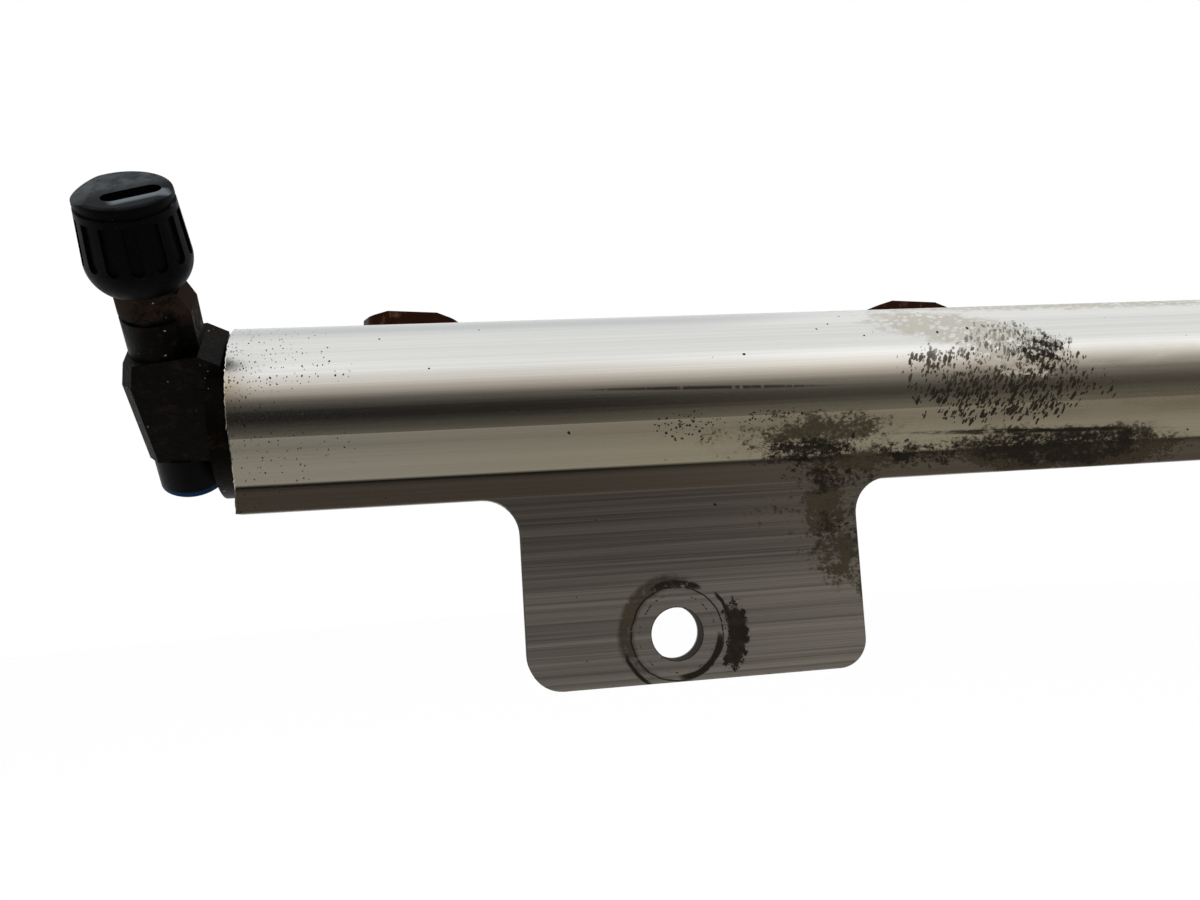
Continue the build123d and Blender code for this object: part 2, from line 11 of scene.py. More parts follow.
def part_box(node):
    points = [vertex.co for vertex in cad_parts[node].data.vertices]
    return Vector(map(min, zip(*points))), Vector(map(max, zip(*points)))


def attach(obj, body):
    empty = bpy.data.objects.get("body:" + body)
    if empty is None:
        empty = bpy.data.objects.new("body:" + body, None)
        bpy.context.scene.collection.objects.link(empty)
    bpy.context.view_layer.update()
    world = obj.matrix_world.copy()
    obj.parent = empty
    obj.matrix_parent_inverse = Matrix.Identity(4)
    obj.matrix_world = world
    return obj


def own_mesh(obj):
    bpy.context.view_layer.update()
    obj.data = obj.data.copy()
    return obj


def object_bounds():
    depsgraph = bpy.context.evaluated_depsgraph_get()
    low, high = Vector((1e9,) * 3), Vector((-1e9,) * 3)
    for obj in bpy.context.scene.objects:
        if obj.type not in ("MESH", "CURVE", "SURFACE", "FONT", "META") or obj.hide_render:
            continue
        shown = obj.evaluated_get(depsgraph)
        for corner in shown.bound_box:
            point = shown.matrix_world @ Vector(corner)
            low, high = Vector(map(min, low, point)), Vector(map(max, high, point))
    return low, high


bl_info = {
    "name": "Fuel rail",
    "version": (1, 0, 0),
    "blender": (4, 5, 0),
    "location": "View3D > Sidebar > Fuel rail",
    "description": "Finishes a used fuel rail: extrusion, clips, end adapter, cap, inlet and studio",
    "category": "Object",
}

MM = 0.001

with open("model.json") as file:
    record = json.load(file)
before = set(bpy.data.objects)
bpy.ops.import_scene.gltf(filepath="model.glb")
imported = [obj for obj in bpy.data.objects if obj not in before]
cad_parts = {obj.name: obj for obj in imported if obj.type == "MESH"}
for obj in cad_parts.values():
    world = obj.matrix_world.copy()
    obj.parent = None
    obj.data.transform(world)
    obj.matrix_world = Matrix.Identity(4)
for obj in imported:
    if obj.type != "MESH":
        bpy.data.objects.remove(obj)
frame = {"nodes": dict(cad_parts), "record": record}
CAD_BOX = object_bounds()
RAIL_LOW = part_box("rail")[0]
CAP_LOW, CAP_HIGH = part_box("test_port_cap")
MOUNTS = {mount["name"]: mount for mount in frame["record"]["mounts"]}

# Heights on the rail's front where its tone changes, in millimetres, from the top edge down
RIDGE_LEFT_Z = 46.0
RIDGE_RIGHT_Z = 48.4
RIDGE_BLEND = 3.4
CROWN_LOW_Z = 42.5
WARM_HIGH_Z = 41.0
BELLY_Z = 38.0
WARM_LOW_Z = 31.5
FOLD_Z = 31.0
CREASE_Z = 25.9
STRIP_LOW_Z = 22.3
TAB_EDGE_Z = -7.05

# The middle of the wear at the sawn end, and the length of the clips' left ear, in millimetres
SAWN_X = -208.0
EAR_LENGTH = 1.1

# The bolt washer's marks, as distances out from the bolt hole's rim, in millimetres
INNER_SCRAPE = 1.9
HEAVY_SCRAPE = 2.7
SEAT_LOW = 3.0
WASHER_EDGE = 3.15
SEAT_HIGH = 3.2
SMUDGE = 3.7
HALO = 4.0
OUTER_SCRAPE = 4.5
CRUST = 5.4

# Sizes that follow from the part
BOLT_X = MOUNTS["mounting_holes"]["dims"]["spacing_x_mm"] / 2
BOLT_RADIUS = MOUNTS["mounting_holes"]["dims"]["hole_r_mm"]
STEM_AXIS = -Vector(MOUNTS["fuel_inlet"]["axis"])
SLOT_TURN = math.radians(30)
ALONG_RAIL = Vector((1.0, 0.0, 0.0))
STEM_BACK = STEM_AXIS.cross(ALONG_RAIL)
SLOT_ALONG = ALONG_RAIL * math.cos(SLOT_TURN) + STEM_BACK * math.sin(SLOT_TURN)
SLOT_ACROSS = STEM_BACK * math.cos(SLOT_TURN) - ALONG_RAIL * math.sin(SLOT_TURN)
SOCKET_X = [MOUNTS[f"injector_socket_{number}"]["pos_m"][0] / MM for number in (1, 2)]
SOCKET_PITCH = SOCKET_X[1] - SOCKET_X[0]
CLIP_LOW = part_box("injector_clip_3")[0]
CLIP_BEND = CLIP_LOW.x / MM + EAR_LENGTH
CLIP_NODES = [name for name in sorted(frame["nodes"]) if name.startswith("injector_clip")]
SEAL_NODES = [
    "adapter_o_ring",
    "end_plug_o_ring",
    "inlet_o_ring_inner",
    "inlet_o_ring_outer",
    "valve_core_seal",
    "valve_pin_seal",
    "cap_seal",
]


def colour_property(name, description, default):
    """A linear colour that the user can change."""
    return FloatVectorProperty(
        name=name, description=description, subtype="COLOR", default=default, min=0, max=1, size=3
    )


def length_property(name, description, default):
    """A length in metres that the user can change."""
    return FloatProperty(name=name, description=description, subtype="DISTANCE", default=default, precision=5)


class ExtrusionFinish(PropertyGroup):
    """Colours and wear of the aluminium extrusion."""

    crown: colour_property("Crown", "Aluminium on the tube's upper half", (0.72, 0.72, 0.70))
    ridge: colour_property("Top edge", "Dulled aluminium along the top", (0.47, 0.495, 0.49))
    belly: colour_property("Belly", "Warm aluminium where the tube faces forward", (0.70, 0.625, 0.535))
    slope: colour_property("Lower slope", "Warmer aluminium under the tube", (0.61, 0.555, 0.44))
    # The slope's colour towards the right, more olive
    olive_slope: colour_property("Dull slope", "The slope where oil has dulled it", (0.61, 0.53, 0.375))
    # Painted shade: the strip's colour is kept dark to stand in for the dark reflection it faces
    strip: colour_property("Strip", "Aluminium of the flat strip under the slope", (0.235, 0.190, 0.145))
    # Painted shade: the tabs' top, next to the strip, is given a darker colour
    tab_top_shade: colour_property("Tab's top", "Brushed aluminium near the strip", (0.088, 0.075, 0.062))
    milled: colour_property("Tab", "Brushed aluminium of the tabs", (0.185, 0.165, 0.140))
    end_tint: colour_property("Cut end", "Brown tint of the tube's cut end", (0.40, 0.31, 0.20))
    haze: colour_property("Haze", "Thin olive haze", (0.150, 0.125, 0.075))
    stain: colour_property("Stain", "Thin olive-brown dirt", (0.034, 0.026, 0.0145))
    grime: colour_property("Grime", "Oily brown-black dirt", (0.010, 0.007, 0.004))
    # Dried dirt, whose colour also paints the highlight along the tabs' bottom edge
    dust_and_highlight: colour_property("Dust film", "Dried beige dirt", (0.36, 0.335, 0.275))
    wear: FloatProperty(name="Wear", description="How much dirt lies on the rail", default=1.0, min=0, max=1)
    burr: length_property("Saw burr", "How far the saw's burr stands out of the cut end", 0.00022)
    burr_teeth: IntProperty(name="Burr teeth", description="Teeth round the cut end", default=230, min=20)


class ClipFinish(PropertyGroup):
    """Coated spring steel of the injector clips."""

    coat: colour_property("Coating", "Dark bronze coating", (0.024, 0.0085, 0.0040))
    # Rubbed coating, whose colour also paints the highlight on the clips' left bend and ear
    worn_and_highlight: colour_property("Worn coating", "Where the coating is rubbed", (0.20, 0.105, 0.060))


class AdapterFinish(PropertyGroup):
    """Rusty steel of the end adapter and the plug."""

    steel: colour_property("Steel", "Oiled dark steel", (0.0016, 0.0012, 0.0008))
    rust: colour_property("Rust", "Brown rust", (0.016, 0.0092, 0.0058))
    crumbs: colour_property("Crumbs", "Pale crumbs stuck in the oil", (0.30, 0.27, 0.25))
    brass: colour_property("Brass", "Turned brass of the test valve", (0.62, 0.45, 0.18))
    wire: colour_property("Wire", "Drawn spring wire", (0.55, 0.55, 0.54))


class PlasticFinish(PropertyGroup):
    """Moulded cap, quick connector and rubber seals."""

    cap: colour_property("Cap", "Black plastic of the cap", (0.0011, 0.0012, 0.0014))
    # Grey dust, whose colour also paints the sheen on the cap's top
    cap_dust_and_sheen: colour_property("Cap dust", "Grey dust on the cap's top", (0.105, 0.124, 0.138))
    inlet: colour_property("Connector", "Black plastic of the quick connector", (0.0009, 0.0009, 0.0011))
    ring: colour_property("Lock ring", "Blue plastic of the lock ring", (0.002, 0.014, 0.040))
    rubber: colour_property("Rubber", "Black rubber of the seals", (0.012, 0.012, 0.012))


class StudioSettings(PropertyGroup):
    """Floor, lamp and camera."""

    floor: colour_property("Floor", "Pale floor", (0.99, 0.99, 0.99))
    floor_drop: length_property("Floor drop", "How far the floor lies below the part", 0.45)
    key_power: FloatProperty(name="Key lamp", description="Soft lamp's power, in watts", default=3.0, min=0)
    lens: FloatProperty(name="Lens", description="Camera lens, in millimetres", default=30.0, min=1)


class FuelRailSettings(PropertyGroup):
    """All the settings of the fuel rail."""

    extrusion: PointerProperty(type=ExtrusionFinish)
    clips: PointerProperty(type=ClipFinish)
    adapter: PointerProperty(type=AdapterFinish)
    plastic: PointerProperty(type=PlasticFinish)
    studio: PointerProperty(type=StudioSettings)


class Finish:
    """A procedural material under construction, in the part's own millimetres."""

    def __init__(self, name):
        self.material = bpy.data.materials.new(name)
        self.material.use_nodes = True
        self.tree = self.material.node_tree
        self.shader = self.tree.nodes["Principled BSDF"]
        place = self.node("ShaderNodeTexCoord").outputs["Object"]
        self.place = self.vector("MULTIPLY", place, (1 / MM, 1 / MM, 1 / MM))
        split = self.node("ShaderNodeSeparateXYZ", Vector=self.place)
        self.x, self.y, self.z = split.outputs

    def node(self, kind, **inputs):
        """A node with its inputs linked or set by name."""
        made = self.tree.nodes.new(kind)
        for name, value in inputs.items():
            self.feed(made.inputs[name.replace("_", " ")], value)
        return made

    def feed(self, socket, value):
        """Links a socket, or sets it where the value is plain."""
        if isinstance(value, bpy.types.NodeSocket):
            self.tree.links.new(value, socket)
        else:
            socket.default_value = value

    def maths(self, operation, first, second=0.0, third=0.0, clamp=False):
        """One sum on numbers."""
        made = self.tree.nodes.new("ShaderNodeMath")
        made.operation = operation
        made.use_clamp = clamp
        for socket, value in zip(made.inputs, (first, second, third)):
            self.feed(socket, value)
        return made.outputs[0]

    def times(self, first, *others):
        """Several numbers multiplied together."""
        for other in others:
            first = self.maths("MULTIPLY", first, other)
        return first

    def largest(self, first, *others):
        """The largest of several masks."""
        for other in others:
            first = self.maths("MAXIMUM", first, other)
        return first

    def away(self, value, middle):
        """How far a value is from a middle one."""
        return self.maths("ABSOLUTE", self.maths("SUBTRACT", value, middle))

    def vector(self, operation, first, second=(0.0, 0.0, 0.0), third=(0.0, 0.0, 0.0)):
        """One sum on vectors, giving a vector."""
        made = self.tree.nodes.new("ShaderNodeVectorMath")
        made.operation = operation
        for socket, value in zip(made.inputs, (first, second, third)):
            self.feed(socket, value)
        return made.outputs["Vector"]

    def dot(self, first, second):
        """How far one vector reaches along another."""
        made = self.tree.nodes.new("ShaderNodeVectorMath")
        made.operation = "DOT_PRODUCT"
        self.feed(made.inputs[0], first)
        self.feed(made.inputs[1], tuple(second))
        return made.outputs["Value"]

    def turned(self, angle):
        """The place turned about the Y axis, for marks that lie on a slant."""
        made = self.tree.nodes.new("ShaderNodeVectorRotate")
        made.rotation_type = "Y_AXIS"
        self.feed(made.inputs["Vector"], self.place)
        made.inputs["Angle"].default_value = angle
        return made.outputs["Vector"]

    def grain(self, scale, detail=3.0, rough=0.55, place=None, shift=0.0):
        """Noise from 0 to 1 at so many cells a millimetre along each axis."""
        source = self.place if place is None else place
        stretched = self.vector("MULTIPLY", source, scale)
        moved = self.vector("ADD", stretched, (shift, shift * 0.37, -shift * 0.61))
        made = self.node("ShaderNodeTexNoise", Vector=moved, Scale=1.0, Detail=detail, Roughness=rough)
        return made.outputs["Fac"]

    def flecks(self, scale, size, crowd, place=None, shift=0.0):
        """Separate ragged flecks of mixed sizes, more of them where crowd is near 1."""
        source = self.place if place is None else place
        cells = self.vector("ADD", self.vector("MULTIPLY", source, scale), (shift, shift, shift))
        wander = self.node("ShaderNodeTexNoise", Vector=cells, Scale=1.6, Detail=3.0, Roughness=0.6)
        wander = self.shade(self.vector("SUBTRACT", wander.outputs["Color"], (0.5, 0.5, 0.5)), 0.8)
        cell = self.node("ShaderNodeTexVoronoi", Vector=self.vector("ADD", cells, wander), Scale=1.0)
        chances = self.node("ShaderNodeSeparateXYZ", Vector=cell.outputs["Color"])
        reach = self.maths("MULTIPLY_ADD", chances.outputs["X"], size * 0.5, size * 0.5)
        spot = self.step(self.maths("SUBTRACT", reach, cell.outputs["Distance"]), -0.03, 0.06)
        present = self.step(self.maths("ADD", chances.outputs["Y"], crowd), 1.0, 1.04)
        depth = self.step(chances.outputs["Z"], 0.0, 0.8, 0.45, 1.0)
        return self.times(spot, present, depth)

    def step(self, value, low, high, start=0.0, end=1.0):
        """Smooth step of a value between two levels."""
        made = self.node("ShaderNodeMapRange", Value=value)
        made.interpolation_type = "SMOOTHSTEP"
        for name, limit in (("From Min", low), ("From Max", high), ("To Min", start), ("To Max", end)):
            self.feed(made.inputs[name], limit)
        return made.outputs["Result"]

    def mix(self, amount, first, second):
        """Colour between two colours."""
        made = self.tree.nodes.new("ShaderNodeMix")
        made.data_type = "RGBA"
        for number, value in ((0, amount), (6, first), (7, second)):
            self.feed(made.inputs[number], value)
        return made.outputs[2]

    def shade(self, colour, factor):
        """A colour times a number."""
        made = self.tree.nodes.new("ShaderNodeVectorMath")
        made.operation = "SCALE"
        self.feed(made.inputs[0], colour if isinstance(colour, bpy.types.NodeSocket) else tuple(colour)[:3])
        self.feed(made.inputs["Scale"], factor)
        return made.outputs["Vector"]

    def stirred(self, reach_x, reach_z, scale, shift=0.0):
        """The place along X and Z, pushed about by noise so that patches lose their outline."""
        cells = self.vector("MULTIPLY_ADD", self.place, (scale, scale, scale), (shift, shift, shift))
        push = self.node("ShaderNodeTexNoise", Vector=cells, Scale=1.0, Detail=5.0, Roughness=0.65)
        push = self.node("ShaderNodeSeparateXYZ", Vector=push.outputs["Color"])
        x = self.maths("MULTIPLY_ADD", self.maths("SUBTRACT", push.outputs["X"], 0.5), reach_x, self.x)
        z = self.maths("MULTIPLY_ADD", self.maths("SUBTRACT", push.outputs["Y"], 0.5), reach_z, self.z)
        return x, z

    def patch(self, centre_x, centre_z, half_x, half_z, soft=0.55, lean=0.0, at=None):
        """1 inside an ellipse on the part's front, falling to 0 at its rim."""
        at_x, at_z = at or (self.x, self.z)
        along = self.maths("SUBTRACT", at_x, centre_x)
        up = self.maths("SUBTRACT", at_z, centre_z)
        up = self.maths("SUBTRACT", up, self.times(along, lean))
        along = self.maths("DIVIDE", along, half_x)
        up = self.maths("DIVIDE", up, half_z)
        square = self.maths("ADD", self.times(along, along), self.times(up, up))
        return self.step(self.maths("SQRT", square), 1.0, 1.0 - soft)

    def patches(self, table, at=None):
        """Several ellipses together. Each row has its place, half sizes, softness and lean."""
        made = [self.patch(*row[:4], soft=row[4], lean=row[5], at=at) for row in table]
        return self.largest(*made)

    def bump(self, height, strength, distance):
        """Sends a height to the shader's normal. The distance is in metres."""
        made = self.node("ShaderNodeBump", Height=height)
        made.inputs["Strength"].default_value = strength
        made.inputs["Distance"].default_value = distance
        self.feed(self.shader.inputs["Normal"], made.outputs["Normal"])

    def set(self, **inputs):
        """Sets or links the shader's own sockets."""
        for name, value in inputs.items():
            self.feed(self.shader.inputs[name.replace("_", " ")], value)


def solid_colour(colour):
    """A colour with full alpha."""
    return (colour[0], colour[1], colour[2], 1.0)


def paint(names, material):
    """Gives parts of the frame their material."""
    for name in names:
        part = frame["nodes"][name]
        part.data.materials.clear()
        part.data.materials.append(material)


def add_piece(name, mesh, material):
    """A piece of its own, riding on the main body."""
    piece = bpy.data.objects.new(name, mesh)
    bpy.context.scene.collection.objects.link(piece)
    mesh.materials.append(material)
    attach(piece, "main")
    return piece


# Where wear lies on the front. Each row: centre X and Z, half width and half height in millimetres,
# how much of it is soft rim, and its lean
FILM_PLACES = (
    (-66.0, 50.2, 62.0, 2.8, 0.95, 0.0),
    (-96.0, 45.4, 19.0, 4.4, 0.95, -0.16),
    (-86.0, 40.6, 13.0, 6.0, 0.95, -0.10),
    (10.0, 49.8, 90.0, 2.6, 0.95, 0.0),
)
FLECK_PLACES = (
    (-84.0, 41.0, 12.5, 5.4, 0.85, -0.22),
    (-88.0, 34.6, 20.0, 5.6, 0.70, 0.0),
    (-98.0, 39.4, 12.0, 3.4, 0.90, 0.0),
)
STAIN_PLACES = (
    (-119.0, 29.6, 24.0, 5.2, 0.95, 0.0),
    (-112.0, 25.4, 22.0, 4.4, 0.95, 0.0),
    (-76.5, 24.9, 29.5, 5.7, 0.55, -0.020),
    (-118.5, 18.0, 14.0, 9.0, 0.90, 0.0),
    (-116.0, 10.5, 8.5, 8.0, 0.90, 0.0),
    (40.0, 26.4, 60.0, 3.0, 0.95, 0.0),
    (118.0, 26.0, 22.0, 5.0, 0.95, 0.0),
)
CORE_PLACES = (
    (-120.5, 26.8, 19.0, 4.4, 0.90, 0.0),
    (-101.0, 25.6, 14.0, 3.6, 0.95, 0.0),
    (-77.0, 25.2, 25.0, 4.8, 0.60, -0.025),
    (-117.5, 22.4, 13.0, 5.0, 0.85, 0.0),
    (36.0, 26.4, 30.0, 1.8, 0.95, 0.0),
)
CLUSTER_PLACES = (
    (-140.0, 31.4, 8.0, 2.8, 0.90, 0.0),
    (-127.0, 32.2, 7.0, 1.8, 0.90, 0.0),
)


def extrusion_finish(look):
    """Die-drawn, milled and used aluminium, with grime where oil ran and dried, painted shade on the fold,
    the strip, the tabs, their side faces and the bolt-hole walls, and a painted highlight along the tabs'
    bottom edge.
    """
    f = Finish("used_aluminium")
    lines = drawing_lines(f)
    milled = f.step(f.z, STRIP_LOW_Z, STRIP_LOW_Z - 0.4)
    strip = f.step(f.z, CREASE_Z, CREASE_Z - 0.6)

    # Tone by height: dulled top edge, bright crown, warm slope, then painted shade: darker along the fold, a
    # dark strip, and tabs darker at the top
    ridge_low = f.step(f.x, -140.0, -100.0, RIDGE_LEFT_Z, RIDGE_RIGHT_Z)
    ridge = f.step(f.z, ridge_low, f.maths("ADD", ridge_low, RIDGE_BLEND))
    tone = f.mix(ridge, solid_colour(look.crown), solid_colour(look.ridge))
    tone = f.mix(f.step(f.z, CROWN_LOW_Z, BELLY_Z), tone, solid_colour(look.belly))
    # The slope turns more olive towards the right
    warm = f.mix(f.step(f.x, -195.0, -125.0), solid_colour(look.slope), solid_colour(look.olive_slope))
    tone = f.mix(f.step(f.z, WARM_HIGH_Z, WARM_LOW_Z), tone, warm)
    # Painted shade: the tone is darker along the fold where the tube meets the slope
    tone = f.shade(tone, f.step(f.away(f.z, FOLD_Z), 1.7, 0.0, 1.0, 0.84))
    # Painted shade: the strip is darkest just under the crease
    strip_shade_tone = f.shade(look.strip, f.step(f.z, 25.6, 24.6, 0.62, 1.0))
    tone = f.mix(strip, tone, strip_shade_tone)
    # Painted shade: the tabs run from dark at the top to lighter downwards, and are made lighter towards the
    # right
    tab_tone = f.mix(f.step(f.z, 23.0, -2.0), solid_colour(look.tab_top_shade), solid_colour(look.milled))
    tab_tone = f.shade(tab_tone, f.step(f.x, -158.0, -116.0, 1.0, 1.22))
    tone = f.mix(milled, tone, tab_tone)
    silky = f.step(lines, 0.34, 0.66, 0.90, 1.04)
    brushed = f.step(lines, 0.38, 0.62, 0.64, 1.30)
    tone = f.shade(tone, f.step(milled, 0.0, 1.0, silky, brushed))

    streaks = f.step(lines, 0.3, 0.6, 0.4, 0.9)
    end_tint = f.times(f.patch(SAWN_X, 39.6, 6.5, 4.6, soft=0.95), streaks)
    tone = f.mix(end_tint, tone, solid_colour(look.end_tint))

    # Wear stays on the front: ahead of the tube's middle, and off the tabs' mounting face
    off_engine = f.largest(f.step(f.y, -0.3, -0.9), f.step(f.z, 19.0, 23.0))
    front = f.times(f.step(f.y, 4.0, 1.0), off_engine)
    worn_front = f.times(front, look.wear)
    film_and_highlight = f.times(dust_film_and_edge_highlight(f), worn_front)
    haze = f.times(olive_haze(f), worn_front)
    veil, stain, core = oily_grime(f)
    flecks, clump = coat_flecks(f)
    scrapes, halo = bolt_marks(f)
    haze = f.largest(haze, f.times(veil, worn_front))
    stain = f.times(f.largest(stain, flecks, halo), worn_front)
    core = f.times(core, worn_front)
    # The marks hold grime and scrapes, and also the painted shade on the tabs' side faces and bolt-hole walls
    marks = [core, clump, crease_seam(f), drawn_scratch(f), scrapes, shaded_cut_edges(f), specks(f)]
    marks = f.times(f.largest(*marks), worn_front)

    colour = f.mix(film_and_highlight, tone, solid_colour(look.dust_and_highlight))
    colour = f.mix(haze, colour, solid_colour(look.haze))
    colour = f.mix(deepened(f, stain), colour, solid_colour(look.stain))
    colour = f.mix(deepened(f, marks), colour, solid_colour(look.grime))
    dirt = f.largest(film_and_highlight, haze, stain, marks)
    dark = f.largest(stain, marks)
    metal = f.times(f.step(film_and_highlight, 0.2, 0.75, 1.0, 0.1), f.step(dark, 0.35, 0.80, 1.0, 0.0))
    metal = f.times(metal, f.step(milled, 0.0, 1.0, 1.0, 0.75))
    polish = f.step(lines, 0.35, 0.65, 0.17, 0.23)
    roughness = f.maths("MULTIPLY_ADD", milled, 0.26, polish)
    roughness = f.maths("MULTIPLY_ADD", dirt, 0.30, roughness, clamp=True)
    f.set(Base_Color=colour, Metallic=metal, Roughness=roughness, Specular_IOR_Level=0.08)
    thick = f.times(f.largest(stain, core), 0.14)
    height = f.maths("MULTIPLY_ADD", lines, f.step(milled, 0.0, 1.0, 0.45, 0.8), thick)
    height = f.maths("SUBTRACT", height, bolt_seat(f))
    f.bump(height, 0.30, 0.00006)
    return f.material


def deepened(f, amount):
    """A dirt mask that darkens early, since thin oil already kills the metal's shine."""
    clear = f.maths("SUBTRACT", 1.0, amount, clamp=True)
    return f.maths("SUBTRACT", 1.0, f.maths("POWER", clear, 3.0))


def drawing_lines(f):
    """Lines along the rail, coarse and fine, as the die and the mill leave them."""
    coarse = f.grain((0.004, 0.9, 0.9), detail=5.0, rough=0.62)
    fine = f.grain((0.010, 5.5, 5.5), detail=4.0, rough=0.7, shift=4.0)
    return f.maths("MULTIPLY_ADD", coarse, 0.55, f.times(fine, 0.45))


def dust_film_and_edge_highlight(f):
    """Dried beige dirt along the top and round the brushed coat, chipped off in small flecks, and a thin
    painted highlight along the tabs' bottom edge.
    """
    mottle = f.grain((0.35, 0.6, 0.6), detail=9.0, rough=0.72, shift=9.0)
    places = f.patches(FILM_PLACES)
    film_and_highlight = f.step(f.maths("MULTIPLY_ADD", places, 0.50, mottle), 0.52, 0.78, 0.0, 0.74)
    film_and_highlight = f.times(film_and_highlight, f.step(places, 0.0, 0.25))
    # Painted highlight: a thin pale line along the tabs' bottom edge
    film_and_highlight = f.largest(film_and_highlight, f.step(f.z, TAB_EDGE_Z + 0.2, TAB_EDGE_Z, 0.0, 0.30))
    chips = f.flecks((0.75, 1.3, 1.3), 0.60, 0.75, place=f.turned(math.radians(28)), shift=6.0)
    return f.times(film_and_highlight, f.step(chips, 0.0, 1.0, 1.0, 0.12))


def olive_haze(f):
    """Thin olive haze on the tube's front, from the brushed coat on to the right."""
    cloud = f.grain((0.06, 0.3, 0.3), detail=6.0, rough=0.6, shift=14.0)
    from_coat = f.step(f.x, -108.0, -84.0)
    below_crown = f.step(f.z, CROWN_LOW_Z + 0.5, BELLY_Z)
    above_fold = f.step(f.z, FOLD_Z - 2.5, FOLD_Z + 0.5)
    return f.times(from_coat, below_crown, above_fold, f.step(cloud, 0.36, 0.60, 0.10, 0.30))


def coat_flecks(f):
    """Short slanted dark flecks, the rest of a brushed-on coat, and its thickest clump."""
    place = f.turned(math.radians(-24))
    at = f.stirred(14.0, 6.0, 0.22, shift=5.0)
    crowd = f.times(f.patches(FLECK_PLACES, at), 1.2)
    large = f.flecks((1.55, 0.66, 0.66), 0.58, crowd, place=place, shift=17.0)
    small = f.flecks((2.5, 1.15, 1.15), 0.52, crowd, place=place, shift=3.0)
    ragged = f.grain((1.4, 1.0, 1.0), detail=6.0, rough=0.75, place=place, shift=44.0)
    ragged = f.step(ragged, 0.34, 0.66)
    clump = f.patch(-81.5, 40.8, 8.5, 4.8, soft=0.98, lean=-0.35, at=at)
    inside = f.step(clump, 0.0, 0.2)
    clump = f.step(f.maths("MULTIPLY_ADD", clump, 0.66, ragged), 0.84, 1.36, 0.0, 0.85)
    clump = f.times(inside, clump)
    flecks = f.largest(f.times(large, 0.95), f.times(small, 0.85))
    flecks = f.times(flecks, f.step(f.z, 43.5, 36.5, 0.34, 1.0))
    below = f.times(flecks, f.step(f.z, 38.5, 34.0, 0.0, 0.5))
    return flecks, f.largest(clump, below)


def oily_grime(f):
    """Oil and dirt dried in the crease and down the tab: a thin veil, a brown stain and a black core."""
    cloud = f.step(f.grain((0.24, 0.36, 0.42), detail=7.0, rough=0.70, shift=31.0), 0.33, 0.67)
    crumbs = f.step(f.grain((1.5, 1.5, 1.8), detail=6.0, rough=0.78, shift=12.0), 0.33, 0.67)
    texture = f.maths("MULTIPLY_ADD", crumbs, 0.55, f.times(cloud, 0.45))
    at = f.stirred(26.0, 5.0, 0.10, shift=19.0)
    run_down = f.patch(-111.8, 7.0, 3.4, 11.0, soft=0.90)
    places = f.largest(f.patches(STAIN_PLACES, at), run_down)
    inside = f.step(places, 0.0, 0.25)
    stain = f.step(f.maths("MULTIPLY_ADD", places, 0.85, texture), 0.88, 1.50, 0.0, 0.82)
    stain = f.times(stain, inside)
    on_tab = f.times(f.patch(-116.0, 14.0, 11.0, 9.5, soft=0.95, at=at), 0.66)
    middle = f.largest(f.patches(CORE_PLACES, at), on_tab)
    core = f.step(f.maths("MULTIPLY_ADD", middle, 0.80, texture), 0.98, 1.62, 0.0, 0.94)
    core = f.times(core, f.step(middle, 0.0, 0.25))
    veil = f.times(places, f.step(texture, 0.15, 0.85, 0.10, 0.42))
    cluster = f.flecks((1.9, 1.9, 1.9), 0.46, f.patches(CLUSTER_PLACES), shift=8.0)
    return veil, stain, f.largest(core, f.times(cluster, 0.75))


def crease_seam(f):
    """Thin black seam of dirt above the strip."""
    seam = f.patch(-82.0, 28.2, 28.0, 0.50, soft=0.9, lean=-0.025)
    broken = f.grain((0.25, 0.8, 0.8), detail=7.0, rough=0.7, shift=3.0)
    return f.times(seam, f.step(broken, 0.38, 0.54))


def drawn_scratch(f):
    """Broken dark scratch where the tube faces forward."""
    scratch = f.patch(-137.0, 36.9, 22.0, 0.34, soft=0.6, lean=-0.022)
    return f.times(scratch, f.step(f.grain((0.9, 0.2, 0.2), shift=23.0), 0.36, 0.46, 0.0, 0.7))


def specks(f):
    """Black specks over the front, closest together at the cut end."""
    speck = f.grain((0.8, 0.8, 0.8), detail=1.0, rough=0.3, shift=51.0)
    crowd = f.patch(SAWN_X, 38.0, 24.0, 20.0, soft=0.95)
    near_end = f.flecks((2.6, 1.9, 1.9), 0.34, f.times(crowd, 0.75), shift=27.0)
    return f.largest(f.step(speck, 0.795, 0.81), f.times(near_end, 0.7))


def hole_radius(f):
    """Distance from the nearer bolt hole's axis, as both tabs are alike."""
    aside = f.maths("SUBTRACT", f.maths("ABSOLUTE", f.x), BOLT_X)
    return f.maths("SQRT", f.maths("ADD", f.times(aside, aside), f.times(f.z, f.z)))


def ring(f, radius, middle, half_width):
    """1 on a circle of some width, 0 off it."""
    return f.step(f.away(radius, middle), half_width, half_width * 0.3)


def bolt_seat(f):
    """The slightly sunk ring that the bolt's washer pressed into each tab."""
    return f.step(hole_radius(f), BOLT_RADIUS + SEAT_HIGH, BOLT_RADIUS + SEAT_LOW)


def shaded_cut_edges(f):
    """Painted shade: the tabs' side faces and the walls of the bolt holes are darkened with the grime colour.
    """
    normal = f.node("ShaderNodeNewGeometry").outputs["True Normal"]
    side = f.node("ShaderNodeSeparateXYZ", Vector=normal).outputs["X"]
    side = f.step(f.maths("ABSOLUTE", side), 0.55, 0.8, 0.0, 0.80)
    wall = f.step(hole_radius(f), BOLT_RADIUS + 0.16, BOLT_RADIUS + 0.04, 0.0, 0.82)
    on_tab = f.step(f.z, 25.5, 24.5)
    return f.times(f.largest(side, wall), on_tab)


